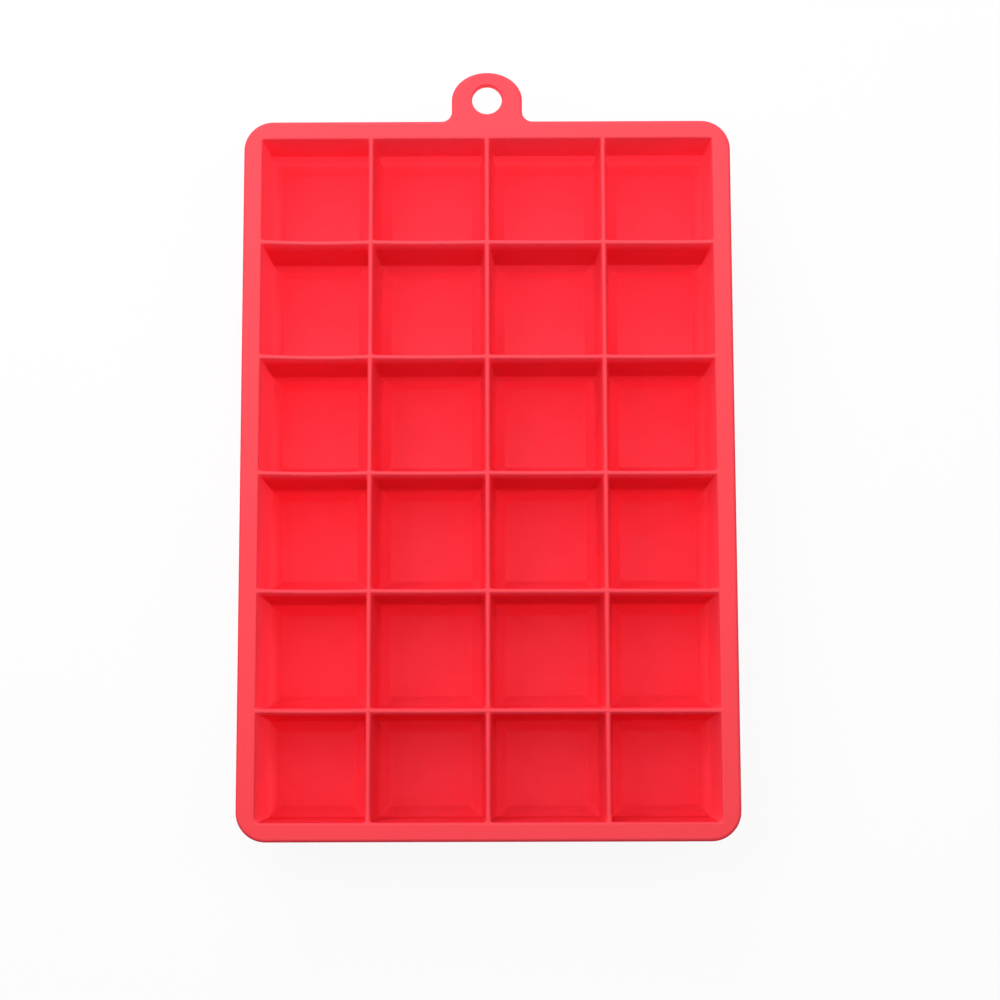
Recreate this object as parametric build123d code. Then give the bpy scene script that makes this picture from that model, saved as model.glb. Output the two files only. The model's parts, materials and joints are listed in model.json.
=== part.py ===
from build123d import *

import os
from math import hypot, radians, tan

# A soft silicone ice cube tray: square cups on a grid, a flat rim round them and one hanging tab.
# Millimetres, +Z up, +Y towards the tab. The origin is under the middle of the whole tray, on the
# surface that it stands on. Row 1 is beside the tab, column 1 is on the -X side.
# Every wall, divider and floor below is one stretch of the moulding, cut where it bends or stays.

# Cup grid
COLUMNS = 4
ROWS = 6
CUP_PITCH = 30.0              # middle of one cup to the middle of the next, both ways
DIVIDER_WIDTH = 1.1           # width of a divider in the plane of the rim's upper face
DIVIDER_DROP = 0.3            # dividers stop this far under the rim's upper face
SIDE_INSET = 1.3              # cups beside a long side are this much narrower
END_INSET = 1.9               # cups beside a short side are this much shorter
WALL_DRAFT = 3.3              # degrees, every cup wall leans in towards the floor

# Cup section
WALL_DEPTH = 18.3             # rim's upper face down to the foot of a cup's wall
SLOPE_RUN = 2.9               # plan width of the slope between wall and floor
SLOPE_RISE = 3.0              # height of that slope
FLOOR_THICKNESS = 1.0         # floor and slope, measured square to their faces
OUTER_WALL_THICKNESS = 1.2    # the four walls round the outside

# Rim
RIM_WIDTH = 4.75              # mouth edge to outer edge
RIM_THICKNESS = 2.5
RIM_CORNER_RADIUS = 7.5
RIM_EDGE_RADIUS = 0.9         # rounding of the upper and lower outer edges

# Hanging tab, as thick as the rim that it bends from, with a half ellipse round its hole
TAB_HOLE_RADIUS = 3.9
TAB_ROOT_WALL = 1.85          # rim's outer edge to the hole
TAB_SIDE_WALL = 5.2           # hole to the tab's side
TAB_TIP_WALL = 3.45           # hole to the tab's tip
TAB_FLARE_RADIUS = 2.7        # hollow corners where the tab leaves the rim

# Working clearances
FLOOR_CLEARANCE = 0.1         # floor's lip to the walls that it slides up between
HINGE_CLEARANCE = 0.3         # tab's round root to its groove in the rim
CUT_OVERRUN = 1.0             # how far a cutting shape runs past what it cuts
FILLET_LIMIT_SHARE = 0.4      # largest edge rounding, as a share of the rim's thickness

# Levels above the standing surface
draft = tan(radians(WALL_DRAFT))
slope_ratio = SLOPE_RISE / SLOPE_RUN
wall_foot_z = FLOOR_THICKNESS + SLOPE_RISE
wall_bottom_z = wall_foot_z - FLOOR_THICKNESS * hypot(SLOPE_RUN, SLOPE_RISE) / SLOPE_RUN
rim_top_z = wall_foot_z + WALL_DEPTH
rim_under_z = rim_top_z - RIM_THICKNESS
divider_top_z = rim_top_z - DIVIDER_DROP

# Plan sizes in the plane of the rim's upper face
mouth_half_x = COLUMNS * CUP_PITCH / 2 - DIVIDER_WIDTH / 2 - SIDE_INSET
mouth_half_y = ROWS * CUP_PITCH / 2 - DIVIDER_WIDTH / 2 - END_INSET
rim_half_x = mouth_half_x + RIM_WIDTH
rim_half_y = mouth_half_y + RIM_WIDTH

# The tab's plan, and its hole's middle and bending line in the grid's own frame
tab_half_width = TAB_HOLE_RADIUS + TAB_SIDE_WALL
tab_dome_height = TAB_HOLE_RADIUS + TAB_TIP_WALL
tab_root_half = tab_half_width + TAB_FLARE_RADIUS
tab_hole_y = rim_half_y + TAB_ROOT_WALL + TAB_HOLE_RADIUS
tab_tip_y = tab_hole_y + tab_dome_height
rim_middle_z = rim_top_z - RIM_THICKNESS / 2

# The grid's middle lies behind the origin by half of what the tab adds to the length
TO_FRAME = Pos(0, (rim_half_y - tab_tip_y) / 2, 0)


def lean(z):
    """How far a drafted wall face has come in at height z."""
    return (rim_top_z - z) * draft


def divider_places(count):
    """Middles of the dividers between that many cups."""
    return [(index - count / 2) * CUP_PITCH for index in range(1, count)]


def cup_spans(count, mouth_half):
    """Low and high edge of each cup's mouth along one axis, in the plane of the rim's upper face."""
    half = DIVIDER_WIDTH / 2
    middles = divider_places(count)
    lows = [-mouth_half] + [middle + half for middle in middles]
    highs = [middle - half for middle in middles] + [mouth_half]
    return list(zip(lows, highs))


def ring(span_x, span_y, z, shrink=0):
    """Corners of a rectangle at height z, drawn in by shrink on all four sides."""
    low_x, high_x = span_x[0] + shrink, span_x[1] - shrink
    low_y, high_y = span_y[0] + shrink, span_y[1] - shrink
    return [(low_x, low_y, z), (high_x, low_y, z), (high_x, high_y, z), (low_x, high_y, z)]


def block(upper, lower):
    """Closed solid with flat faces between two rings of as many corners."""
    count = len(upper)
    faces = [Face(Wire.make_polygon(upper)), Face(Wire.make_polygon(lower))]
    for index in range(count):
        following = (index + 1) % count
        corners = [upper[index], upper[following], lower[following], lower[index]]
        faces.append(Face(Wire.make_polygon(corners)))
    return Solid(Shell(faces))


def divider_faces(middle, z):
    """Where a divider's low and high face stand at height z."""
    half = DIVIDER_WIDTH / 2 + lean(z)
    return (middle - half, middle + half)


def between_walls(span, z):
    """A cup's span at height z, where its walls have leaned in."""
    return (span[0] + lean(z), span[1] - lean(z))


def long_divider(middle):
    """Divider that runs the whole length between the two end walls."""
    rings = []
    for z in (divider_top_z, wall_bottom_z):
        rings.append(ring(divider_faces(middle, z), between_walls((-mouth_half_y, mouth_half_y), z), z))
    return block(*rings)


def cross_divider(middle):
    """Divider across the tray: one short wall in each column, between its neighbours."""
    walls = []
    for span in cup_spans(COLUMNS, mouth_half_x):
        rings = []
        for z in (divider_top_z, wall_bottom_z):
            rings.append(ring(between_walls(span, z), divider_faces(middle, z), z))
        walls.append(block(*rings))
    return Compound(children=walls)


def tray_corner(signs, z, outwards=0):
    """Point at height z in one corner of the tray, that far outside the cups' inner faces."""
    reach = outwards - lean(z)
    return (signs[0] * (mouth_half_x + reach), signs[1] * (mouth_half_y + reach), z)


def outer_wall(first, second):
    """Mitred wall between two corners of the tray; its lower edge carries on the floors' slope."""
    skirt_z = wall_bottom_z + OUTER_WALL_THICKNESS * slope_ratio
    rings = []
    for inner_z, outer_z in ((rim_under_z, rim_under_z), (wall_bottom_z, skirt_z)):
        rings.append([
            tray_corner(first, inner_z),
            tray_corner(second, inner_z),
            tray_corner(second, outer_z, OUTER_WALL_THICKNESS),
            tray_corner(first, outer_z, OUTER_WALL_THICKNESS),
        ])
    return block(*rings)


def cup_floor(span_x, span_y):
    """Dished floor of one cup: a flat pad, four slopes and a thin lip against the walls."""
    foot_x, foot_y = between_walls(span_x, wall_foot_z), between_walls(span_y, wall_foot_z)
    bottom_x, bottom_y = between_walls(span_x, wall_bottom_z), between_walls(span_y, wall_bottom_z)
    pad_shrink = FLOOR_CLEARANCE + wall_bottom_z / slope_ratio
    lip_top = ring(foot_x, foot_y, wall_foot_z, FLOOR_CLEARANCE)
    lip_bottom = ring(bottom_x, bottom_y, wall_bottom_z, FLOOR_CLEARANCE)
    pad = ring(bottom_x, bottom_y, 0, pad_shrink)
    body = block(lip_top, lip_bottom) + block(lip_bottom, pad)
    floor_edge = ring(foot_x, foot_y, FLOOR_THICKNESS, FLOOR_CLEARANCE + SLOPE_RUN)
    above = FLOOR_CLEARANCE - CUT_OVERRUN / slope_ratio
    hollow = block(ring(foot_x, foot_y, wall_foot_z + CUT_OVERRUN, above), floor_edge)
    return body - hollow


def hinge_bar(radius, past_ends=0):
    """Round bar along the line that the tab bends on, at the rim's outer edge."""
    bar = Cylinder(radius, 2 * (tab_root_half + past_ends))
    return Pos(0, rim_half_y, rim_middle_z) * Rot(0, 90, 0) * bar


def rim_flange():
    """Flat rim round the mouth, with a round groove in its edge where the tab bends."""
    outline = RectangleRounded(2 * rim_half_x, 2 * rim_half_y, RIM_CORNER_RADIUS)
    plate = extrude(Pos(0, 0, rim_under_z) * outline, amount=RIM_THICKNESS)
    rounding = min(RIM_EDGE_RADIUS, FILLET_LIMIT_SHARE * RIM_THICKNESS)
    plate = fillet(plate.edges().filter_by(Plane.XY), rounding)
    rings = []
    for z in (rim_top_z + CUT_OVERRUN, rim_under_z - CUT_OVERRUN):
        mouth_x = between_walls((-mouth_half_x, mouth_half_x), z)
        mouth_y = between_walls((-mouth_half_y, mouth_half_y), z)
        rings.append(ring(mouth_x, mouth_y, z))
    groove = hinge_bar(RIM_THICKNESS / 2 + HINGE_CLEARANCE, HINGE_CLEARANCE)
    return plate - block(*rings) - groove


def hang_tab():
    """Domed tab with a round hole, on a round root that turns in the rim's groove."""
    shoulder_y = rim_half_y + TAB_FLARE_RADIUS
    outline = Curve() + [
        Line((-tab_root_half, rim_half_y), (tab_root_half, rim_half_y)),
        CenterArc((tab_root_half, shoulder_y), TAB_FLARE_RADIUS, 180, 90),
        Line((tab_half_width, shoulder_y), (tab_half_width, tab_hole_y)),
        EllipticalCenterArc((0, tab_hole_y), tab_half_width, tab_dome_height, arc_size=180),
        Line((-tab_half_width, tab_hole_y), (-tab_half_width, shoulder_y)),
        CenterArc((-tab_root_half, shoulder_y), TAB_FLARE_RADIUS, 270, 90),
    ]
    plate = extrude(Pos(0, 0, rim_under_z) * make_face(outline), amount=RIM_THICKNESS)
    hole = Cylinder(TAB_HOLE_RADIUS, RIM_THICKNESS + 2 * CUT_OVERRUN)
    return plate + hinge_bar(RIM_THICKNESS / 2) - Pos(0, tab_hole_y, rim_middle_z) * hole


def all_pieces():
    """Every named stretch of the tray, in the grid's own frame."""
    pieces = {
        "rim_flange": rim_flange(),
        "hang_tab": hang_tab(),
        "right_side_wall": outer_wall((1, -1), (1, 1)),
        "tab_end_wall": outer_wall((1, 1), (-1, 1)),
        "left_side_wall": outer_wall((-1, 1), (-1, -1)),
        "near_end_wall": outer_wall((-1, -1), (1, -1)),
    }
    for number, middle in enumerate(divider_places(COLUMNS), start=1):
        pieces[f"long_divider_{number}"] = long_divider(middle)
    for number, middle in enumerate(reversed(divider_places(ROWS)), start=1):
        pieces[f"cross_divider_{number}"] = cross_divider(middle)
    rows = reversed(cup_spans(ROWS, mouth_half_y))
    for row, span_y in enumerate(rows, start=1):
        for column, span_x in enumerate(cup_spans(COLUMNS, mouth_half_x), start=1):
            pieces[f"cup_floor_r{row}_c{column}"] = cup_floor(span_x, span_y)
    return pieces


os.makedirs("parts", exist_ok=True)
for node, shape in all_pieces().items():
    export_step(TO_FRAME * shape, f"parts/{node}.step")
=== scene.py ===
import functools
import json
import logging
import math
from collections.abc import Callable, Iterable
from dataclasses import dataclass, field
from enum import Enum

import bmesh
import bpy
from mathutils import Matrix, Vector


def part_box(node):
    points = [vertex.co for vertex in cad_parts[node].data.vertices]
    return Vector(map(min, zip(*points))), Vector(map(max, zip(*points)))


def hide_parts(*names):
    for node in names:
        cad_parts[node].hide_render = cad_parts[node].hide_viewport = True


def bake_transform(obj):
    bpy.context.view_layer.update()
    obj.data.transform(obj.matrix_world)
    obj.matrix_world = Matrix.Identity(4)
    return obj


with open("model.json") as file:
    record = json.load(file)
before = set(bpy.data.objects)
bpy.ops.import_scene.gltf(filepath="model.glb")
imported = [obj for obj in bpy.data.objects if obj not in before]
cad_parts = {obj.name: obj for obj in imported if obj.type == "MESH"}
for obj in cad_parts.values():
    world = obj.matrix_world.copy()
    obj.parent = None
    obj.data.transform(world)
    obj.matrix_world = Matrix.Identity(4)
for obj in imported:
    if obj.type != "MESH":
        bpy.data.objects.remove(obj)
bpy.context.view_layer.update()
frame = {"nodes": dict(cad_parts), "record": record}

log = logging.getLogger("ice_cube_tray")
MM = 0.001
CLOSE = MM / 100
SAME_POINT = MM / 1000
SMOOTH_ANGLE = math.radians(35)
HALF_LEVEL = 0.5
WHITE = (1, 1, 1, 1)
BLACK = (0, 0, 0, 1)
TAB_BODY = "hang_tab"

Colour = tuple[float, float, float, float]
Span = tuple[float, float]


@functools.cache
def box(node: str) -> tuple[Vector, Vector]:
    """A CAD node's lowest and highest corner, worked out once."""
    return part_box(node)


class Side(Enum):
    """The four sides of a cup, as steps in column and row; row 1 is at the far end, beside the tab."""

    LEFT = (-1, 0)
    RIGHT = (1, 0)
    NEAR = (0, 1)
    FAR = (0, -1)


class Part(Enum):
    """What a selection takes up."""

    POINTS = "VERT"
    EDGES = "EDGE"
    FACES = "FACE"


@dataclass(frozen=True)
class Rect:
    """An upright rectangle in plan, in metres."""

    x0: float
    x1: float
    y0: float
    y1: float

    def inset(self, amount: float) -> "Rect":
        """The rectangle drawn in on all four sides, or let out where the amount is negative."""
        return Rect(self.x0 + amount, self.x1 - amount, self.y0 + amount, self.y1 - amount)

    @property
    def middle(self) -> tuple[float, float]:
        """Plan middle."""
        return (self.x0 + self.x1) / 2, (self.y0 + self.y1) / 2

    @property
    def size(self) -> tuple[float, float]:
        """Width and length."""
        return self.x1 - self.x0, self.y1 - self.y0


class Bench:
    """One mesh in edit mode, shaped with Blender's own operators."""

    def __init__(self, name: str, rect: Rect, z: float) -> None:
        """Starts a mesh as a flat plate.

        Args:
            name: the object's name.
            rect: the plate's outline in plan.
            z: the plate's height.
        """
        if bpy.context.object and bpy.context.object.mode != "OBJECT":
            bpy.ops.object.mode_set(mode="OBJECT")
        bpy.ops.object.select_all(action="DESELECT")
        bpy.ops.mesh.primitive_plane_add(size=1, location=(*rect.middle, z))
        self.piece = bpy.context.object
        self.piece.name = name
        self.piece.data.name = name
        self.piece.scale = (*rect.size, 1)
        bpy.ops.object.transform_apply(location=True, rotation=True, scale=True)
        bpy.ops.object.mode_set(mode="EDIT")
        bpy.ops.mesh.select_all(action="SELECT")

    @property
    def mesh(self) -> bmesh.types.BMesh:
        """The mesh that is being edited.

        Returns:
            The edit mesh, with its indices in order.
        """
        mesh = bmesh.from_edit_mesh(self.piece.data)
        for items in (mesh.verts, mesh.edges, mesh.faces):
            items.ensure_lookup_table()
            items.index_update()
        return mesh

    def pick(self, part: Part, test: Callable) -> int:
        """Selects only what passes a test.

        Args:
            part: points, edges or faces.
            test: takes one bmesh element and says whether it is wanted.

        Returns:
            How many elements are selected.
        """
        bpy.ops.mesh.select_mode(type=part.value)
        bpy.ops.mesh.select_all(action="DESELECT")
        mesh = self.mesh
        items = {Part.POINTS: mesh.verts, Part.EDGES: mesh.edges, Part.FACES: mesh.faces}[part]
        wanted = [item for item in items if test(item)]
        for item in wanted:
            item.select_set(True)
        mesh.select_flush_mode()
        bmesh.update_edit_mesh(self.piece.data)
        return len(wanted)

    def fit(self, rect: Rect, z: float) -> None:
        """Moves and resizes what is selected to another outline and height.

        Args:
            rect: its new outline.
            z: its new height.
        """
        points = [v.co for v in self.mesh.verts if v.select]
        x0, x1 = min(p.x for p in points), max(p.x for p in points)
        y0, y1 = min(p.y for p in points), max(p.y for p in points)
        now = Rect(x0, x1, y0, y1)
        ratio = (rect.size[0] / now.size[0], rect.size[1] / now.size[1], 1)
        bpy.ops.transform.resize(value=ratio, center_override=(*now.middle, points[0].z))
        shift = (rect.middle[0] - now.middle[0], rect.middle[1] - now.middle[1], z - points[0].z)
        bpy.ops.transform.translate(value=shift)

    def grow(self, rect: Rect, z: float) -> set[int]:
        """Extrudes the selected face to another outline and height.

        Args:
            rect: the new face's outline.
            z: its height.

        Returns:
            The indices of the new face's corners.
        """
        bpy.ops.mesh.extrude_region_move()
        self.fit(rect, z)
        return {v.index for v in self.mesh.verts if v.select}

    def bevel(self, radius: float, segments: int) -> None:
        """Rounds the selected edges."""
        bpy.ops.mesh.bevel(offset=radius, segments=segments, affect="EDGES", clamp_overlap=True)

    def weigh(self, share: float, test: Callable) -> None:
        """Gives the edges that pass a test a share of the widest rounding."""
        self.pick(Part.EDGES, test)
        bpy.ops.transform.edge_bevelweight(value=share)

    def round_weighed(self, radius: float, segments: int) -> None:
        """Rounds all weighed edges, each by its share of the widest radius.

        Args:
            radius: the widest radius.
            segments: how many faces each rounding gets.
        """
        bpy.ops.object.mode_set(mode="OBJECT")
        modifier = self.piece.modifiers.new("rounding", "BEVEL")
        modifier.limit_method = "WEIGHT"
        modifier.width = radius
        modifier.segments = segments
        bpy.ops.object.modifier_apply(modifier=modifier.name)
        bpy.ops.object.mode_set(mode="EDIT")

    def slice(self, places: Iterable[float], axis: int, test: Callable | None = None) -> None:
        """Cuts the mesh across one axis and keeps both sides.

        Args:
            places: where the cuts lie along the axis.
            axis: 0, 1 or 2.
            test: says which faces are cut; without it all are.
        """
        normal = Vector([float(index == axis) for index in range(3)])
        for place in places:
            self.pick(Part.FACES, test or (lambda face: True))
            bpy.ops.mesh.bisect(plane_co=normal * place, plane_no=normal)

    def face_outwards(self) -> None:
        """Turns all faces outwards."""
        bpy.ops.mesh.select_all(action="SELECT")
        bpy.ops.mesh.normals_make_consistent(inside=False)

    def combine(self, other: "Bench", operation: str) -> None:
        """Joins another shape to this one, or cuts it out, and removes it.

        Args:
            other: the shape that is used up.
            operation: UNION or DIFFERENCE.
        """
        other.done()
        bpy.ops.object.select_all(action="DESELECT")
        bpy.context.view_layer.objects.active = self.piece
        self.piece.select_set(True)
        modifier = self.piece.modifiers.new(operation.lower(), "BOOLEAN")
        modifier.operation = operation
        modifier.solver = "EXACT"
        modifier.object = other.piece
        bpy.ops.object.modifier_apply(modifier=modifier.name)
        bpy.data.objects.remove(other.piece)
        bpy.ops.object.mode_set(mode="EDIT")

    def done(self) -> bpy.types.Object:
        """Leaves edit mode and gives the finished object."""
        bpy.ops.object.mode_set(mode="OBJECT")
        return self.piece


def smooth(piece: bpy.types.Object) -> None:
    """Shades a piece smoothly over its rounded edges and flat over its flat faces.

    Args:
        piece: the finished piece.
    """
    bpy.ops.object.select_all(action="DESELECT")
    bpy.context.view_layer.objects.active = piece
    piece.select_set(True)
    bpy.ops.object.shade_smooth_by_angle(angle=SMOOTH_ANGLE)
    modifier = piece.modifiers.new("weighted", "WEIGHTED_NORMAL")
    modifier.keep_sharp = True
    bpy.ops.object.modifier_apply(modifier=modifier.name)


@dataclass(frozen=True)
class TrayPlan:
    """Levels and leans that every piece shares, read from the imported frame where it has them."""

    draft: float = math.tan(math.radians(3.3))
    floor_clearance: float = 0.1 * MM
    slope_run: float = 2.9 * MM
    slope_rise: float = 3.0 * MM
    split_top: float = 0.7 * MM
    split_bottom: float = 0.6 * MM

    @property
    def rim(self) -> tuple[Vector, Vector]:
        """Lowest and highest corner of the rim."""
        return box("rim_flange")

    @property
    def rim_top(self) -> float:
        """Height of the rim's upper face."""
        return self.rim[1].z

    @property
    def rim_under(self) -> float:
        """Height of the rim's lower face."""
        return self.rim[0].z

    @property
    def middle_y(self) -> float:
        """Where the cup grid's middle lies along the tray."""
        return (self.rim[0].y + self.rim[1].y) / 2

    @property
    def wall_bottom(self) -> float:
        """Height of the dividers' lower edges."""
        return box("cross_divider_1")[0].z

    @property
    def divider_top(self) -> float:
        """Height of the dividers' upper edges."""
        return box("cross_divider_1")[1].z

    @property
    def wall_foot(self) -> float:
        """Height where a cup's wall turns into the slope round its floor."""
        return box("cup_floor_r1_c1")[1].z

    def lean(self, z: float) -> float:
        """How far a wall has come in at a height, counted from its foot."""
        return (self.wall_foot - z) * self.draft

    def split(self, z: float) -> float:
        """How far outside a cup's wall foot the joint between cups and outer wall lies at a height."""
        share = (z - self.wall_bottom) / (self.rim_top - self.wall_bottom)
        return self.split_bottom + (self.split_top - self.split_bottom) * share - self.lean(z)

    def foot(self, row: int, column: int) -> Rect:
        """A cup's inner outline at the foot of its walls."""
        low, high = box(f"cup_floor_r{row}_c{column}")
        return Rect(low.x, high.x, low.y, high.y).inset(-self.floor_clearance)

    def whole_foot(self) -> Rect:
        """The outline round all the cups at the foot of their walls."""
        near, far = self.foot(self.rows, 1), self.foot(1, self.columns)
        return Rect(near.x0, far.x1, near.y0, far.y1)

    @property
    def rows(self) -> int:
        """How many cups lie along the tray."""
        return max(int(name.split("_r")[1].split("_")[0]) for name in self.floors)

    @property
    def columns(self) -> int:
        """How many cups lie across the tray."""
        return max(int(name.split("_c")[-1]) for name in self.floors)

    @property
    def floors(self) -> list[str]:
        """The names of the cup floors."""
        return [name for name in frame["nodes"] if name.startswith("cup_floor")]


@dataclass(frozen=True)
class Bow:
    """How the soft cross dividers sag towards the near end between the long dividers."""

    plan: TrayPlan
    depths: tuple[float, ...] = (0.32 * MM, 0.15 * MM, 0.08 * MM, 0.08 * MM)
    ends: tuple[float, ...] = (0.42 * MM, 0.26 * MM, 0.18 * MM, 0.10 * MM, 0.04 * MM)
    near_share: float = 0.45
    rise_power: float = 1.5

    @functools.cached_property
    def spans(self) -> list[Rect]:
        """The cups' outlines across the tray."""
        return [self.plan.foot(1, column) for column in range(1, self.plan.columns + 1)]

    @functools.cached_property
    def middles(self) -> list[float]:
        """Where the cross dividers lie along the tray, from the far end."""
        nodes = [box(f"cross_divider_{index}") for index in range(1, self.plan.rows)]
        return [(low.y + high.y) / 2 for low, high in nodes]

    def shift(self, point: Vector) -> float:
        """How far a point of the cups moves along the tray.

        Args:
            point: a point of a cup.

        Returns:
            The move in metres, negative towards the near end.
        """
        beside = 2 * min(abs(point.y - middle) for middle in self.middles)
        beside /= self.middles[0] - self.middles[1]
        height = (point.z - self.foot_z) / (self.top_z - self.foot_z)
        if beside >= 1 or height <= 0:
            return 0.0
        lines = [self.spans[0].x0]
        lines += [(left.x1 + right.x0) / 2 for left, right in zip(self.spans, self.spans[1:])]
        lines += [self.spans[-1].x1]
        x = min(max(point.x, lines[0]), lines[-1])
        column = max(index for index in range(len(self.spans)) if x >= lines[index])
        across = (x - lines[column]) / (lines[column + 1] - lines[column])
        end = self.ends[column] * (1 - across) + self.ends[column + 1] * across
        along = (point.y - self.middles[-1]) / (self.middles[0] - self.middles[-1])
        share = self.near_share + (1 - self.near_share) * min(max(along, 0), 1)
        wave = end - self.depths[column] * math.sin(math.pi * across)
        return share * wave * math.cos(math.pi / 2 * beside) ** 2 * height ** self.rise_power

    @functools.cached_property
    def foot_z(self) -> float:
        """Height below which nothing moves."""
        return self.plan.wall_foot

    @functools.cached_property
    def top_z(self) -> float:
        """Height where the dividers end."""
        return self.plan.divider_top

    def apply(self, piece: bpy.types.Object) -> None:
        """Moves the points of a cup."""
        for vertex in piece.data.vertices:
            vertex.co.y += self.shift(vertex.co)


@dataclass
class Cups:
    """The cups: each has its share of the dividers' upper edges, four walls, slopes and a floor."""

    plan: TrayPlan
    rim_edge_radius: float = 0.4 * MM
    divider_edge_radius: float = 0.5 * MM
    corner_radius: float = 0.6 * MM
    tray_corner_radius: float = 1.6 * MM
    far_corner_radius: float = 0.35 * MM
    foot_radius: float = 0.85 * MM
    floor_radius: float = 0.45 * MM
    under_radius: float = 0.5 * MM
    edge_segments: int = 4
    ramp: float = 2.4 * MM
    wall_cuts: int = 10
    plan_cuts: int = 6
    bend_share: float = 0.85
    rim_reach: float = 2 * MM
    pieces: dict[tuple[int, int], bpy.types.Object] = field(default_factory=dict)

    def neighbour(self, row: int, column: int, side: Side) -> tuple[int, int] | None:
        """Finds the cup beyond one side.

        Args:
            row: the cup's row.
            column: its column.
            side: the side to look beyond.

        Returns:
            That cup's row and column, or None where the side is the tray's own outer wall.
        """
        across, along = side.value
        place = (row + along, column + across)
        inside = 1 <= place[0] <= self.plan.rows and 1 <= place[1] <= self.plan.columns
        return place if inside else None

    def cell(self, row: int, column: int, z: float) -> Rect:
        """A cup's outer outline at a height.

        Args:
            row: the cup's row.
            column: its column.
            z: the height.

        Returns:
            The outline: the middles of its dividers, or inside the outer wall.
        """
        foot = self.plan.foot(row, column)
        outwards = self.plan.split(z)
        edges = {Side.LEFT: foot.x0 - outwards, Side.RIGHT: foot.x1 + outwards,
                 Side.NEAR: foot.y0 - outwards, Side.FAR: foot.y1 + outwards}
        for side in Side:
            beyond = self.neighbour(row, column, side)
            if beyond:
                other = self.plan.foot(*beyond)
                pairs = {Side.LEFT: (foot.x0, other.x1), Side.RIGHT: (foot.x1, other.x0),
                         Side.NEAR: (foot.y0, other.y1), Side.FAR: (foot.y1, other.y0)}
                edges[side] = sum(pairs[side]) / 2
        return Rect(edges[Side.LEFT], edges[Side.RIGHT], edges[Side.NEAR], edges[Side.FAR])

    def edges(self, rect: Rect) -> dict[Side, tuple[int, float, int]]:
        """The axis, place and outward direction of each side of a rectangle."""
        return {Side.LEFT: (0, rect.x0, -1), Side.RIGHT: (0, rect.x1, 1),
                Side.NEAR: (1, rect.y0, -1), Side.FAR: (1, rect.y1, 1)}

    def model(self, row: int, column: int) -> bpy.types.Object:
        """Models one cup as a closed shell, from its pad up the outside and down the inside.

        Args:
            row: the cup's row.
            column: its column.

        Returns:
            The cup.
        """
        plan = self.plan
        foot = plan.foot(row, column)
        top = plan.divider_top
        mouth = foot.inset(plan.lean(top))
        lip = foot.inset(plan.lean(plan.wall_bottom))
        floor_z = plan.wall_foot - plan.slope_rise
        pad = lip.inset(plan.wall_bottom * plan.slope_run / plan.slope_rise)
        bench = Bench(f"cup_r{row}_c{column}", pad, 0)
        pad_ring = set(range(len(bench.mesh.verts)))
        lip_ring = bench.grow(lip, plan.wall_bottom)
        bench.grow(self.cell(row, column, plan.wall_bottom), plan.wall_bottom)
        bench.grow(self.cell(row, column, top), top)
        mouth_ring = bench.grow(mouth, top)
        foot_ring = bench.grow(foot, plan.wall_foot)
        floor_ring = bench.grow(foot.inset(plan.slope_run), floor_z)
        bench.face_outwards()
        rings = (pad_ring | lip_ring, mouth_ring, foot_ring, floor_ring)
        self.weigh_edges(bench, (row, column), mouth, rings)
        self.raise_rim_sides(bench, (row, column), mouth)
        bench.round_weighed(self.tray_corner_radius, self.edge_segments)
        self.cut_for_bending(bench, foot)
        return bench.done()

    def weigh_edges(self, bench: Bench, place: tuple[int, int], mouth: Rect,
                    rings: tuple[set[int], ...]) -> None:
        """Says how round each edge of a cup becomes.

        Args:
            bench: the cup, just grown.
            place: its row and column.
            mouth: its outline at the top.
            rings: the corners of the underside, mouth, foot and floor.
        """
        under_ring, mouth_ring, foot_ring, floor_ring = rings
        rim_sides = [self.edges(mouth)[side] for side in Side if not self.neighbour(*place, side)]

        def within(edge: bmesh.types.BMEdge, *wanted: set[int]) -> bool:
            """Whether an edge has one end in the first and one in the last of some rings."""
            ends = [v.index for v in edge.verts]
            return any(first in wanted[0] and last in wanted[-1] for first, last in (ends, ends[::-1]))

        def along_rim(edge: bmesh.types.BMEdge, least: int) -> bool:
            """Whether an edge's ends lie on at least so many rim sides."""
            return sum(all((v.co[axis] - at) * way > -self.rim_reach for v in edge.verts)
                       for axis, at, way in rim_sides) >= least

        widest = self.tray_corner_radius
        bench.weigh(self.under_radius / widest, lambda edge: within(edge, under_ring))
        bench.weigh(self.rim_edge_radius / widest,
                    lambda edge: within(edge, mouth_ring) and along_rim(edge, 1))
        bench.weigh(self.divider_edge_radius / widest,
                    lambda edge: within(edge, mouth_ring) and not along_rim(edge, 1))
        tray_corner = self.far_corner_radius if place[0] == 1 else widest
        bench.weigh(tray_corner / widest,
                    lambda edge: within(edge, mouth_ring, foot_ring) and along_rim(edge, 2))
        bench.weigh(self.corner_radius / widest,
                    lambda edge: within(edge, mouth_ring, foot_ring) and not along_rim(edge, 2))
        bench.weigh(self.foot_radius / widest,
                    lambda edge: within(edge, foot_ring) or within(edge, foot_ring, floor_ring))
        bench.weigh(self.floor_radius / widest, lambda edge: within(edge, floor_ring))

    def raise_rim_sides(self, bench: Bench, place: tuple[int, int], mouth: Rect) -> None:
        """Lifts the sides that run along the rim to its height, with a short ramp on the dividers.

        Args:
            bench: the cup, before its edges are rounded.
            place: its row and column.
            mouth: its outline at the top.
        """
        plan = self.plan
        drop = plan.rim_top - plan.divider_top
        sides = [self.edges(mouth)[side] for side in Side if not self.neighbour(*place, side)]
        for axis, at, way in sides:
            bench.slice([at - way * self.ramp], axis,
                        lambda face: all(abs(v.co.z - plan.divider_top) < CLOSE for v in face.verts))

        def at_rim(point: bmesh.types.BMVert, chosen: list[tuple[int, float, int]]) -> bool:
            """Whether a point of the upper edge lies on one of the chosen sides."""
            high = abs(point.co.z - plan.divider_top) < CLOSE
            return high and any((point.co[axis] - at) * way > -CLOSE for axis, at, way in chosen)

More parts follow.
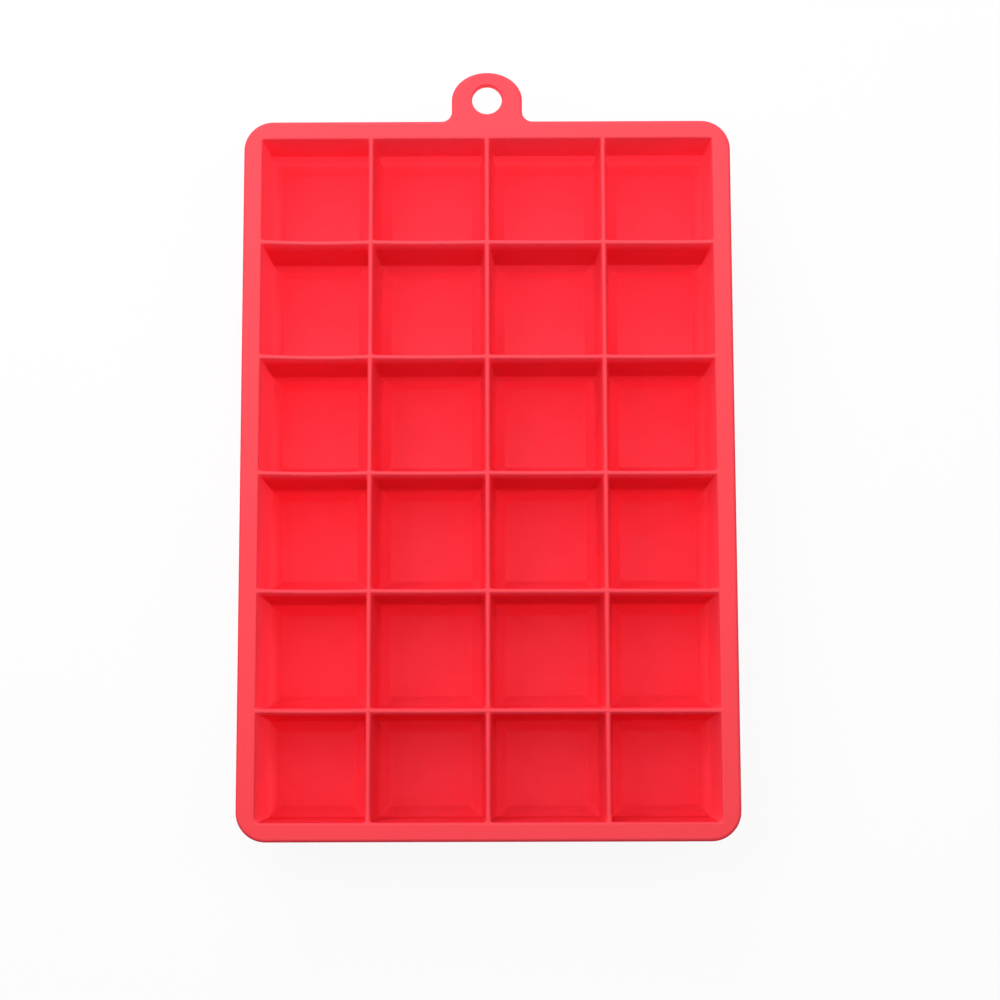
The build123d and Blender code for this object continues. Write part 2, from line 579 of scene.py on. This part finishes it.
        for side in sides:
            axis, at, way = side
            bench.pick(Part.POINTS, lambda point: at_rim(point, [side])
                       and (point.co[axis] - at) * way > CLOSE)
            shift = [0.0, 0.0, 0.0]
            shift[axis] = way * (plan.split(plan.rim_top) - plan.split(plan.divider_top))
            bpy.ops.transform.translate(value=shift)
        if sides:
            bench.pick(Part.POINTS, lambda point: at_rim(point, sides))
            bpy.ops.transform.translate(value=(0, 0, drop))

    def cut_for_bending(self, bench: Bench, foot: Rect) -> None:
        """Cuts the walls into short lengths, so that they can bow smoothly.

        Args:
            bench: the rounded cup.
            foot: its inner outline at the foot of its walls.
        """
        plan = self.plan
        depth = plan.divider_top - plan.wall_foot
        bench.slice([plan.wall_foot + depth * step / (self.wall_cuts + 1)
                     for step in range(1, self.wall_cuts + 1)], 2)
        for axis, low, length in ((0, foot.x0, foot.size[0]), (1, foot.y0, foot.size[1])):
            bench.slice([low + length * step / (self.plan_cuts + 1)
                         for step in range(1, self.plan_cuts + 1)], axis)

    def build(self) -> None:
        """Models each kind of cup once and copies it to its other places."""
        models: dict[tuple[bool, ...], tuple[bpy.types.Object, tuple[float, float]]] = {}
        for row in range(1, self.plan.rows + 1):
            for column in range(1, self.plan.columns + 1):
                kind = tuple(self.neighbour(row, column, side) is None for side in Side)
                middle = self.plan.foot(row, column).middle
                if kind in models:
                    piece = self.copy(models[kind], middle, f"cup_r{row}_c{column}")
                else:
                    piece = self.model(row, column)
                    models[kind] = (piece, middle)
                self.pieces[row, column] = piece

    def copy(self, model: tuple[bpy.types.Object, tuple[float, float]], middle: tuple[float, float],
             name: str) -> bpy.types.Object:
        """Copies a modelled cup, mesh and all, to another place in the grid.

        Args:
            model: the modelled cup and its plan middle.
            middle: the copy's plan middle.
            name: the copy's name.

        Returns:
            The copy.
        """
        original, place = model
        piece = original.copy()
        piece.data = original.data.copy()
        piece.name = name
        piece.data.name = name
        shift = (middle[0] - place[0], middle[1] - place[1], 0)
        piece.data.transform(Matrix.Translation(shift))
        bpy.context.collection.objects.link(piece)
        return piece

    def dress(self, material: bpy.types.Material) -> None:
        """Bows the cups, gives them their finish, and hides the CAD nodes that they replace.

        Args:
            material: the silicone.
        """
        plan = self.plan
        bow = Bow(plan)
        for (row, column), piece in self.pieces.items():
            bow.apply(piece)
            smooth(piece)
            piece.data.materials.clear()
            piece.data.materials.append(material)
            node = f"cup_floor_r{row}_c{column}"
            middle = plan.foot(row, column).middle
            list(middle)
            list(middle)
            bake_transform(piece)
            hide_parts(node, *self.dividers(row, column))
            log.info("%s: %d faces", piece.name, len(piece.data.polygons))

    def dividers(self, row: int, column: int) -> list[str]:
        """The dividers that a cup has a share of.

        Args:
            row: the cup's row.
            column: its column.

        Returns:
            Their names.
        """
        names = {Side.LEFT: f"long_divider_{column - 1}", Side.RIGHT: f"long_divider_{column}",
                 Side.FAR: f"cross_divider_{row - 1}", Side.NEAR: f"cross_divider_{row}"}
        return [name for side, name in names.items() if self.neighbour(row, column, side)]


@dataclass
class Rim:
    """The flat rim, the outer wall under it and the hanging tab, as one moulding."""

    plan: TrayPlan
    corner_radius: float = 7.5 * MM
    corner_segments: int = 14
    edge_radius: float = 0.9 * MM
    edge_segments: int = 5
    wall_corner_radius: float = 1.3 * MM
    wall_corner_segments: int = 6
    wall_edge_radius: float = 0.35 * MM
    under_fillet: float = 0.8 * MM
    fillet_segments: int = 4
    fillet_end: float = math.radians(80)
    flare_radius: float = 2.7 * MM
    flare_steps: int = 7
    side_steps: int = 4
    dome_steps: int = 14
    dome_end: float = math.radians(86)
    hole_edge_radius: float = 0.3 * MM
    hole_sides: int = 64
    bend_length: float = 4.5 * MM
    bend_cuts: int = 8
    overrun: float = 1 * MM
    piece: bpy.types.Object | None = None

    @property
    def hole(self) -> tuple[Vector, float]:
        """Middle and radius of the tab's hole, from the record."""
        mount = next(m for m in frame["record"]["mounts"] if m["name"] == "hang_hole")
        return Vector(mount["pos_m"]), mount["dims"]["r_mm"] * MM

    def tab_outline(self) -> list[tuple[float, float]]:
        """The tab's outline, from the rim's edge to its tip.

        Returns:
            Half width and place along the tray at each step.
        """
        high = box(TAB_BODY)[1]
        edge = self.plan.rim[1].y
        root_half = high.x
        half = root_half - self.flare_radius
        hole_y = self.hole[0].y
        steps = []
        for step in range(1, self.flare_steps + 1):
            angle = math.radians(90) * (1 - step / self.flare_steps)
            steps.append((root_half - self.flare_radius * math.cos(angle),
                          edge + self.flare_radius * (1 - math.sin(angle))))
        straight = hole_y - edge - self.flare_radius
        for step in range(1, self.side_steps + 1):
            steps.append((half, edge + self.flare_radius + straight * step / self.side_steps))
        for step in range(1, self.dome_steps + 1):
            angle = self.dome_end * step / self.dome_steps
            steps.append((half * math.cos(angle), hole_y + (high.y - hole_y) * math.sin(angle)))
        return steps

    def plate(self) -> Bench:
        """Models the rim and the tab as one flat plate with rounded outer edges.

        Returns:
            The plate, in edit mode.
        """
        low, high = self.plan.rim
        bench = Bench("rim_and_tab", Rect(low.x, high.x, low.y, high.y), high.z)
        bpy.ops.mesh.bevel(offset=self.corner_radius, segments=self.corner_segments, affect="VERTICES")
        root_half = box(TAB_BODY)[1].x
        bench.slice((-root_half, root_half), 0)
        far, side = high.y - CLOSE, root_half + CLOSE
        bench.pick(Part.EDGES, lambda edge: all(v.co.y > far and abs(v.co.x) < side for v in edge.verts))
        place, half = high.y, root_half
        for next_half, next_place in self.tab_outline():
            move = {"value": (0, next_place - place, 0)}
            bpy.ops.mesh.extrude_region_move(TRANSFORM_OT_translate=move)
            ratio = (next_half / half, 1, 1)
            bpy.ops.transform.resize(value=ratio, center_override=(0, next_place, high.z))
            place, half = next_place, next_half
        bpy.ops.mesh.select_all(action="SELECT")
        bpy.ops.mesh.dissolve_faces()
        bpy.ops.mesh.extrude_region_move(TRANSFORM_OT_translate={"value": (0, 0, low.z - high.z)})
        bench.face_outwards()
        bench.pick(Part.EDGES, self.is_outline)
        bench.bevel(self.edge_radius, self.edge_segments)
        step = self.bend_length / self.bend_cuts
        bench.slice([high.y + step * (index + 0.5) for index in range(self.bend_cuts + 1)], 1)
        return bench

    @staticmethod
    def is_outline(edge: bmesh.types.BMEdge) -> bool:
        """Whether an edge joins an upright face to a level one."""
        levels = sorted(abs(face.normal.z) for face in edge.link_faces)
        return len(levels) == 2 and levels[0] < HALF_LEVEL < levels[1]

    def fillet(self, radius: float) -> list[tuple[float, float]]:
        """The steps of a hollow rounding, from its wide end on.

        Args:
            radius: the rounding's radius.

        Returns:
            How deep and how far out each step lies.
        """
        count = self.fillet_segments
        turns = [self.fillet_end * (1 - step / count) for step in range(count + 1)]
        return [(radius * (1 - math.sin(turn)), radius * (1 - math.cos(turn))) for turn in turns]

    def outer_wall(self) -> Bench:
        """Models the block that the outer wall's outer faces bound, down to its sloping lower edge.

        Returns:
            The block, in edit mode.
        """
        plan = self.plan
        low, high = box("left_side_wall")[0], box("right_side_wall")[1]
        near, far = box("near_end_wall")[0], box("tab_end_wall")[1]
        upper = Rect(low.x, high.x, near.y, far.y)
        split = plan.whole_foot().inset(-plan.split(plan.wall_bottom))
        drop = (plan.rim_under - plan.wall_bottom) * plan.draft
        thickness = upper.inset(drop).x1 - split.x1
        skirt_z = plan.wall_bottom + thickness * plan.slope_rise / plan.slope_run
        skirt = upper.inset((plan.rim_under - skirt_z) * plan.draft)
        levels = [(plan.rim_under - depth, out) for depth, out in self.fillet(self.under_fillet)]
        outlines = [(upper.inset((plan.rim_under - z) * plan.draft - out), z) for z, out in levels]
        bench = Bench("outer_wall", outlines[0][0], plan.rim_under + self.overrun)
        ring = set(range(len(bench.mesh.verts)))
        for outline, z in outlines:
            ring |= bench.grow(outline, z)
        ring |= bench.grow(skirt, skirt_z)
        end_z = plan.wall_bottom - self.overrun * plan.slope_rise / plan.slope_run
        bench.grow(split.inset(self.overrun), end_z)
        bench.face_outwards()
        bench.pick(Part.EDGES, lambda edge: {v.index for v in edge.verts} <= ring
                   and abs(edge.verts[0].co.z - edge.verts[1].co.z) > CLOSE)
        bench.bevel(self.wall_corner_radius, self.wall_corner_segments)
        bench.pick(Part.EDGES, lambda edge: all(abs(v.co.z - skirt_z) < CLOSE for v in edge.verts))
        bench.bevel(self.wall_edge_radius, self.fillet_segments)
        return bench

    def cups_space(self) -> Bench:
        """Models the block that all the cups fill together.

        Returns:
            The block, in edit mode.
        """
        plan = self.plan
        levels = (plan.rim_top + self.overrun, -self.overrun)
        rects = [plan.whole_foot().inset(-plan.split(z)) for z in levels]
        bench = Bench("cups_space", rects[0], levels[0])
        bench.grow(rects[1], levels[1])
        bench.face_outwards()
        return bench

    def hole_tool(self) -> Bench:
        """Models the round bar that cuts the tab's hole, with ends that round the hole's edges.

        Returns:
            The bar, in edit mode.
        """
        middle, radius = self.hole
        bore = Rect(middle.x - radius, middle.x + radius, middle.y - radius, middle.y + radius)
        steps = self.fillet(self.hole_edge_radius)
        widest = bore.inset(-steps[0][1])
        bench = Bench("hole_tool", widest, self.plan.rim_top + self.overrun)
        bpy.ops.mesh.bevel(offset=widest.size[0] / 2, segments=self.hole_sides // 4, affect="VERTICES")
        bpy.ops.mesh.remove_doubles(threshold=SAME_POINT)
        bpy.ops.mesh.select_all(action="SELECT")
        for depth, out in steps:
            bench.grow(bore.inset(-out), self.plan.rim_top - depth)
        for depth, out in reversed(steps):
            bench.grow(bore.inset(-out), self.plan.rim_under + depth)
        bench.grow(widest, self.plan.rim_under - self.overrun)
        bench.face_outwards()
        return bench

    def build(self) -> None:
        """Models the plate, hangs the outer wall under it and cuts the cups' space and the hole."""
        bench = self.plate()
        bench.combine(self.outer_wall(), "UNION")
        bench.combine(self.cups_space(), "DIFFERENCE")
        bench.combine(self.hole_tool(), "DIFFERENCE")
        self.piece = bench.done()

    def dress(self, material: bpy.types.Material) -> None:
        """Gives the rim its finish and hides the CAD nodes that it replaces.

        Args:
            material: the silicone.
        """
        smooth(self.piece)
        self.piece.data.materials.clear()
        self.piece.data.materials.append(material)
        root = Vector((0, self.plan.rim[1].y, self.hole[0].z))
        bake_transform(self.piece)
        walls = [name for name in frame["nodes"] if name.endswith("_wall")]
        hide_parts("rim_flange", "hang_tab", *walls)
        log.info("%s: %d faces", self.piece.name, len(self.piece.data.polygons))


class Value:
    """A shader socket that Python's operators work on; each operator adds a Math node."""

    def __init__(self, nodes: "Nodes", socket: bpy.types.NodeSocket) -> None:
        """Wraps an output socket of a node tree."""
        self.nodes = nodes
        self.socket = socket

    def math(self, operation: str, *others: "Value | float") -> "Value":
        """Adds a Math node with this socket first."""
        return self.nodes.math(operation, self, *others)

    def __add__(self, other: "Value | float") -> "Value":
        """Sum."""
        return self.math("ADD", other)

    __radd__ = __add__

    def __sub__(self, other: "Value | float") -> "Value":
        """Difference."""
        return self.math("SUBTRACT", other)

    def __rsub__(self, other: "Value | float") -> "Value":
        """Difference from a number."""
        return self.nodes.math("SUBTRACT", other, self)

    def __mul__(self, other: "Value | float") -> "Value":
        """Product."""
        return self.math("MULTIPLY", other)

    __rmul__ = __mul__


class Nodes:
    """A node tree that is filled by one method for all nodes."""

    def __init__(self, tree: bpy.types.NodeTree) -> None:
        """Starts from an empty tree."""
        self.tree = tree
        tree.nodes.clear()

    def add(self, kind: str, settings: dict | None = None, inputs: dict | None = None) -> bpy.types.Node:
        """Adds one node.

        Args:
            kind: the node's type.
            settings: its own settings, set first.
            inputs: values or links of its sockets, by name or identifier.

        Returns:
            The node.
        """
        node = self.tree.nodes.new(kind)
        for name, value in (settings or {}).items():
            setattr(node, name, value)
        for name, value in (inputs or {}).items():
            socket = next(s for s in node.inputs if name in (s.identifier, s.name))
            if isinstance(value, Value):
                self.tree.links.new(value.socket, socket)
            else:
                socket.default_value = value
        return node

    def out(self, node: bpy.types.Node, name: str | int = 0) -> Value:
        """One output of a node, ready for expressions.

        Args:
            node: the node.
            name: the output's name, identifier or index.

        Returns:
            The output.
        """
        if isinstance(name, int):
            return Value(self, node.outputs[name])
        return Value(self, next(s for s in node.outputs if name in (s.identifier, s.name)))

    def math(self, operation: str, *values: Value | float) -> Value:
        """Adds a Math node on values and numbers.

        Args:
            operation: the node's operation.
            values: its inputs, in order.

        Returns:
            The result.
        """
        node = self.add("ShaderNodeMath", {"operation": operation})
        for socket, value in zip(node.inputs, values):
            if isinstance(value, Value):
                self.tree.links.new(value.socket, socket)
            else:
                socket.default_value = value
        return self.out(node)

    def split(self, vector: Value) -> list[Value]:
        """A vector's three components."""
        node = self.add("ShaderNodeSeparateXYZ", None, {"Vector": vector})
        return [self.out(node, name) for name in "XYZ"]

    def noise(self, place: Value, size: float, detail: float = 2, roughness: float = 0.5) -> Value:
        """Soft noise whose features are about that size, in metres."""
        inputs = {"Vector": place, "Scale": 1 / size, "Detail": detail, "Roughness": roughness}
        return self.out(self.add("ShaderNodeTexNoise", None, inputs), "Fac")

    def ramp(self, value: Value, low: float, high: float, to_low: float = 0, to_high: float = 1) -> Value:
        """Maps a value smoothly from one range to another.

        Args:
            value: the value.
            low: where its range starts.
            high: where its range ends.
            to_low: the result at the start.
            to_high: the result at the end.

        Returns:
            The result, kept within its range.
        """
        inputs = {"Value": value, "From Min": low, "From Max": high, "To Min": to_low, "To Max": to_high}
        node = self.add("ShaderNodeMapRange", {"interpolation_type": "SMOOTHSTEP"}, inputs)
        return self.out(node, "Result")

    def mix(self, share: Value | float, first: Value | tuple, second: Value | tuple) -> Value:
        """Mixes two colours.

        Args:
            share: how much of the second colour shows.
            first: the first colour.
            second: the second colour.

        Returns:
            The mixed colour.
        """
        inputs = {"Factor_Float": share, "A_Color": first, "B_Color": second}
        node = self.add("ShaderNodeMix", {"data_type": "RGBA"}, inputs)
        return self.out(node, "Result_Color")


@dataclass(frozen=True)
class Silicone:
    """Satin silicone: one bright red, with painted sheen on top, painted shade on walls across the tray,
    and a weak painted glow for light that comes through it.
    """

    name: str = "red_silicone"
    red: Colour = (0.985, 0.049, 0.082, 1)
    deep_red: Colour = (0.98, 0.046, 0.077, 1)
    # painted sheen: the paler pink of up-facing tops
    painted_sheen_red: Colour = (0.985, 0.079, 0.097, 1)
    # painted light: paler red of outer walls lit through from behind
    painted_backlight_red: Colour = (0.99, 0.065, 0.091, 1)
    # painted sheen, less pale towards the near end, where less light falls
    painted_sheen_near_red: Colour = (0.978, 0.070, 0.087, 1)
    # painted shade: darker red low on the cups' far walls
    painted_foot_shade_red: Colour = (0.81, 0.052, 0.088, 1)
    # painted shade: darker red on the near end wall
    painted_near_shade_red: Colour = (0.76, 0.024, 0.038, 1)
    # painted light: red glow of the backlit outer walls and the upper edges
    glow: Colour = (0.20, 0.012, 0.021, 1)
    # painted light: red glow on the far part of each floor
    floor_glow: Colour = (0.115, 0.001, 0.002, 1)
    # painted light: pale glow on the level near part of each floor
    near_glow: Colour = (0.03, 0.010, 0.014, 1)
    # painted light: faint pale blue-white glow over the far half
    far_pale_glow: Colour = (0.3, 0.6, 1, 1)
    far_pale_glow_depth: float = 16 * MM
    far_pale_glow_shares: Span = (0.0033, 0.011)
    mottle_size: float = 7 * MM
    mottle_range: Span = (0.35, 0.65)
    noise_detail: float = 3
    noise_roughness: float = 0.6
    grain_size: float = 0.22 * MM
    grain_range: Span = (0.3, 0.7)
    grain_shares: Span = (0.85, 1)
    grain_middle: float = 0.5
    grain_roughness: float = 0.12
    ripple_size: float = 4 * MM
    ripple_detail: float = 1
    roughness: float = 0.46
    top_roughness: float = 0.08
    specular_level: float = 0.05
    grain_depth: float = 0.012 * MM
    ripple_depth: float = 0.03 * MM
    wall_fade: Span = (3.2 * MM, 0.5 * MM)
    facing: Span = (0.35, 0.6)
    level: Span = (0.7, 0.96)
    top_fade: Span = (0.7 * MM, 0.5 * MM)
    foot_fade: float = 1 * MM
    side_shade: Span = (0.1 * MM, 0.9 * MM)
    far_shade: Span = (12.8 * MM, 13.5 * MM)
    side_shares: Span = (0.95, 0.64)
    far_shares: Span = (0.6, 0.05)
    edge_glow_depth: float = 6 * MM
    edge_glow_share: float = 0.42
    far_edge_glow: float = 1.2
    upright: Span = (0.45, 0.2)
    foot_shade_depth: Span = (3 * MM, 15 * MM)
    near_shade: Span = (1 * MM, 15 * MM)
    near_shade_shares: Span = (1, 0.5)
    floor_fade: Span = (3 * MM, 19 * MM)
    near_fade: Span = (7 * MM, 24 * MM)
    row_shares: Span = (0.5, 1)
    near_row_shares: Span = (0, 1)

    def backlit_walls(self, nodes: Nodes, place: list[Value], normal: list[Value], plan: TrayPlan) -> Value:
        """How much a place lies on an outer wall where light coming through from behind is painted in,
        with the rim's shadow painted on the far wall.

        Args:
            nodes: the material's nodes.
            place: the Object coordinates.
            normal: the surface's direction.
            plan: gives the walls' places.

        Returns:
            A share from 0 to 1: the two long walls below the rim, and the far wall mostly at its foot.
        """
        foot = plan.whole_foot()
        depth = plan.rim_top - place[2]
        start, full = self.wall_fade
        sides = nodes.ramp(place[0].math("ABSOLUTE"), foot.x1 - start, foot.x1 - full)
        sides *= nodes.ramp(place[0].math("SIGN") * normal[0] * -1, *self.facing)
        sides *= nodes.ramp(depth, *self.side_shade)
        sides *= nodes.ramp(place[0], foot.x0, foot.x1, *self.side_shares)
        far = nodes.ramp(place[1], foot.y1 - start, foot.y1 - full)
        far *= nodes.ramp(normal[1] * -1, *self.facing)
        shaded = nodes.ramp(depth, 0, self.far_shade[0], *self.far_shares)
        far *= nodes.ramp(depth, *self.far_shade).math("MAXIMUM", shaded)
        return sides.math("MAXIMUM", far)

    def cross_walls(self, nodes: Nodes, place: list[Value], normal: list[Value], plan: TrayPlan,
                    way: int) -> Value:
        """How much a place lies on an upright wall across the tray that gets little light.

        Args:
            nodes: the material's nodes.
            place: the Object coordinates.
            normal: the surface's direction.
            plan: gives the cups' places.
            way: -1 for the cups' far walls with a cup behind them, 1 for the wall of the near end.

        Returns:
            A share from 0 to 1.
        """
        foot = plan.whole_foot()
        start = self.wall_fade[0]
        share = nodes.ramp(normal[1] * way, *self.facing) * nodes.ramp(normal[2], *self.upright)
        near_end = nodes.ramp(place[1], foot.y0, foot.y0 + start, 1, 0)
        if way > 0:
            return share * near_end
        return share * (1 - near_end) * nodes.ramp(place[1], foot.y1 - start, foot.y1, 1, 0)

    def lit_floors(self, nodes: Nodes, place: list[Value], normal: list[Value],
                   plan: TrayPlan) -> tuple[Value, Value]:
        """How much painted light, standing in for light through the silicone, glows on a floor, most in
        the far rows.

        Args:
            nodes: the material's nodes.
            place: the Object coordinates.
            normal: the surface's direction.
            plan: gives the cups' places.

        Returns:
            A share from 0 to 1 for the far part of each floor, and one for its level near part.
        """
        far, near = plan.foot(1, 1), plan.foot(plan.rows, 1)
        pitch = (far.y1 - near.y1) / (plan.rows - 1)
        way = nodes.math("MODULO", far.y1 - place[1], pitch)
        low = nodes.ramp(place[2], plan.wall_foot, plan.wall_foot - self.foot_fade)
        rows = near.y0, far.y0 - pitch
        far_part = nodes.ramp(way, *self.floor_fade, 1, 0) * nodes.ramp(place[1], *rows, *self.row_shares)
        near_part = nodes.ramp(way, *self.near_fade) * nodes.ramp(place[1], *rows, *self.near_row_shares)
        return far_part * low, near_part * low * nodes.ramp(normal[2], *self.level)

    def material(self, plan: TrayPlan) -> bpy.types.Material:
        """Builds the material on Object coordinates.

        Args:
            plan: gives the places of the walls, the floors and the upper faces.

        Returns:
            The material.
        """
        material = bpy.data.materials.new(self.name)
        material.use_nodes = True
        nodes = Nodes(material.node_tree)
        source = nodes.add("ShaderNodeTexCoord")
        place = nodes.out(source, "Object")
        axes = nodes.split(place)
        normal = nodes.split(nodes.out(source, "Normal"))
        mottle = nodes.noise(place, self.mottle_size, self.noise_detail, self.noise_roughness)
        grain = nodes.noise(place, self.grain_size, self.noise_detail, self.noise_roughness)
        ripple = nodes.noise(place, self.ripple_size, self.ripple_detail)
        start, full = (plan.divider_top - drop for drop in self.top_fade)
        # Mask of up-facing upper faces: it carries the painted sheen and the rougher top finish.
        top = nodes.ramp(axes[2], start, full)
        top *= nodes.ramp(normal[2], *self.level)
        backlit = self.backlit_walls(nodes, axes, normal, plan)
        behind = self.cross_walls(nodes, axes, normal, plan, -1)
        before = self.cross_walls(nodes, axes, normal, plan, 1)
        depth = plan.rim_top - axes[2]
        # Painted light: a glow near the upper edges, stronger on the far walls and none on the near end
        # wall.
        edge = nodes.ramp(depth, 0, self.edge_glow_depth, self.edge_glow_share, 0)
        edge *= (1 + behind * self.far_edge_glow) * (1 - before)
        body = nodes.mix(nodes.ramp(mottle, *self.mottle_range), self.deep_red, self.red)
        far, near = plan.foot(1, 1), plan.foot(plan.rows, 1)
        # Painted shade: the cups' far walls darken towards their foot, fading out in the nearest row.
        painted_foot_shade = behind * nodes.ramp(depth, *self.foot_shade_depth)
        painted_foot_shade *= nodes.ramp(axes[1], near.y1, plan.foot(plan.rows - 1, 1).y1)
        body = nodes.mix(painted_foot_shade, body, self.painted_foot_shade_red)
        # Painted shade: the near end wall darkens, fully near its top and half at its foot.
        near_shade = before * nodes.ramp(depth, *self.near_shade, *self.near_shade_shares)
        body = nodes.mix(near_shade, body, self.painted_near_shade_red)
        # Painted light: the outer walls turn a paler red where light from behind would come through them.
        walls = nodes.mix(backlit, body, self.painted_backlight_red)
        # Painted sheen: up-facing tops turn paler pink, less so towards the near end where less light
        # falls.
        pale = nodes.mix(nodes.ramp(axes[1], near.y0, far.y1), self.painted_sheen_near_red, self.painted_sheen_red)
        painted_sheen_share = top * nodes.ramp(grain, *self.grain_range, *self.grain_shares)
        skin = nodes.mix(painted_sheen_share, walls, pale)
        # Painted light: the backlit outer walls and the upper edges glow as emission, though they are no
        # lamp.
        light = nodes.mix(backlit.math("MAXIMUM", edge), BLACK, self.glow)
        # Painted light: the floors glow, red on their far part and pale on their level near part.
        far_part, near_part = self.lit_floors(nodes, axes, normal, plan)
        light = nodes.mix(far_part, light, self.floor_glow)
        light = nodes.mix(near_part, light, self.near_glow)
        # Painted light: a faint pale blue-white glow over the far half, stronger lower down and none on
        # the far walls.
        far_pale_glow = nodes.ramp(axes[1], plan.middle_y, (far.y0 + far.y1) / 2)
        far_pale_glow *= nodes.ramp(depth, 0, self.far_pale_glow_depth, *self.far_pale_glow_shares) * (1 - behind)
        light = nodes.mix(far_pale_glow, light, self.far_pale_glow)
        height_map = grain * self.grain_depth + ripple * self.ripple_depth
        roughness = self.roughness + self.grain_roughness * (grain - self.grain_middle)
        roughness += self.top_roughness * top
        bump = nodes.add("ShaderNodeBump", None, {"Strength": 1, "Distance": 1, "Height": height_map})
        shader = nodes.add("ShaderNodeBsdfPrincipled", None, {
            "Base Color": skin,
            "Roughness": roughness,
            "Specular IOR Level": self.specular_level,
            "Normal": nodes.out(bump, "Normal"),
            "Emission Color": light,
            "Emission Strength": 1,
        })
        output = nodes.add("ShaderNodeOutputMaterial")
        nodes.tree.links.new(shader.outputs["BSDF"], output.inputs["Surface"])
        return material


@dataclass(frozen=True)
class Lamp:
    """One soft square lamp, placed by its direction from the point that it faces."""

    name: str
    azimuth: float
    elevation: float
    power: float
    size: float = 0.35
    distance: float = 0.5

    def build(self, target: Vector) -> None:
        """Hangs the lamp, facing the tray.

        Args:
            target: the point that it faces.
        """
        turn, rise = math.radians(self.azimuth), math.radians(self.elevation)
        away = Vector((math.cos(rise) * math.cos(turn), math.cos(rise) * math.sin(turn), math.sin(rise)))
        data = bpy.data.lights.new(self.name, "AREA")
        data.shape = "SQUARE"
        data.size = self.size
        data.energy = self.power
        lamp = bpy.data.objects.new(self.name, data)
        lamp.location = target + away * self.distance
        lamp.rotation_euler = (-away).to_track_quat("-Z", "Y").to_euler()
        bpy.context.scene.collection.objects.link(lamp)


@dataclass
class Studio:
    """A pale floor, soft lamps, the strongest at the tab's end, and a camera at the photograph's angle."""

    plan: TrayPlan
    lens: float = 75.165
    sensor: float = 36
    camera_place: Vector = field(default_factory=lambda: Vector((5.195, -75.503, 523.743)) * MM)
    tilt: float = 0.13034
    yaw: float = 0.00434
    roll: float = -0.0028
    clip: Span = (0.01, 20)
    floor_size: float = 6
    floor_grey: Colour = (0.9, 0.9, 0.9, 1)
    floor_white: float = 0.92
    lamp_shift: float = 70 * MM
    lamps: tuple[Lamp, ...] = (
        Lamp("key", 104, 28, 2.38),
        Lamp("left", 180, 52, 1.05),
        Lamp("right", 0, 52, 0.75),
        Lamp("top", 90, 78, 0.45),
        Lamp("near", 270, 72, 0.56, distance=0.72),
    )

    def camera(self) -> None:
        """Makes the camera where the photograph's perspective puts it."""
        data = bpy.data.cameras.new("camera")
        data.lens = self.lens
        data.sensor_width = self.sensor
        data.clip_start, data.clip_end = self.clip
        camera = bpy.data.objects.new("camera", data)
        bpy.context.scene.collection.objects.link(camera)
        middle = Vector((0, self.plan.middle_y, self.plan.rim_top))
        turn = Matrix.Rotation(self.roll, 4, "Z") @ Matrix.Rotation(self.yaw, 4, "Y")
        turn = turn @ Matrix.Rotation(self.tilt, 4, "X")
        camera.matrix_world = Matrix.Translation(middle + self.camera_place) @ turn
        bpy.context.scene.camera = camera

    @staticmethod
    def seen(nodes: Nodes) -> Value:
        """Whether a ray shows the surroundings, to the camera or in a reflection.

        Args:
            nodes: the nodes of the floor's material or of the world.

        Returns:
            1 for such a ray and 0 for one that carries diffuse light.
        """
        rays = nodes.add("ShaderNodeLightPath")
        seen = nodes.out(rays, "Is Camera Ray").math("MAXIMUM", nodes.out(rays, "Is Glossy Ray"))
        return seen.math("MAXIMUM", nodes.out(rays, "Is Transmission Ray"))

    def floor(self) -> None:
        """Lays a floor that shows nearly white and keeps the tray's shadow."""
        bpy.ops.object.select_all(action="DESELECT")
        bpy.ops.mesh.primitive_plane_add(size=self.floor_size)
        floor = bpy.context.object
        floor.name = "studio_floor"
        material = bpy.data.materials.new("pale_floor")
        material.use_nodes = True
        nodes = Nodes(material.node_tree)
        seen = self.seen(nodes)
        matt = nodes.add("ShaderNodeBsdfDiffuse", None, {"Color": self.floor_grey})
        glow = nodes.add("ShaderNodeEmission", None, {"Color": WHITE, "Strength": 1})
        mixed = nodes.add("ShaderNodeMixShader", None, {"Fac": seen * self.floor_white})
        nodes.tree.links.new(matt.outputs[0], mixed.inputs[1])
        nodes.tree.links.new(glow.outputs[0], mixed.inputs[2])
        output = nodes.add("ShaderNodeOutputMaterial")
        nodes.tree.links.new(mixed.outputs[0], output.inputs["Surface"])
        floor.data.materials.append(material)

    def light(self) -> None:
        """Hangs the lamps and shows white all round, to the camera and in reflections."""
        target = Vector((0, self.plan.middle_y + self.lamp_shift, self.plan.rim_top))
        for lamp in self.lamps:
            lamp.build(target)
        world = bpy.data.worlds.new("studio")
        bpy.context.scene.world = world
        world.use_nodes = True
        nodes = Nodes(world.node_tree)
        sky = nodes.add("ShaderNodeBackground", None, {"Color": WHITE, "Strength": self.seen(nodes)})
        output = nodes.add("ShaderNodeOutputWorld")
        nodes.tree.links.new(sky.outputs[0], output.inputs["Surface"])

    def build(self) -> None:
        """Sets up floor, light, camera and the plain view transform."""
        self.floor()
        self.light()
        self.camera()
        bpy.context.scene.view_settings.view_transform = "Standard"


def main() -> None:
    """Builds the tray's pieces, dresses them and sets up the studio."""
    logging.basicConfig(level=logging.INFO, format="%(name)s: %(message)s")
    plan = TrayPlan()
    material = Silicone().material(plan)
    for assembly in (Rim(plan), Cups(plan)):
        assembly.build()
        assembly.dress(material)
    Studio(plan).build()


if __name__ == "__main__":
    main()
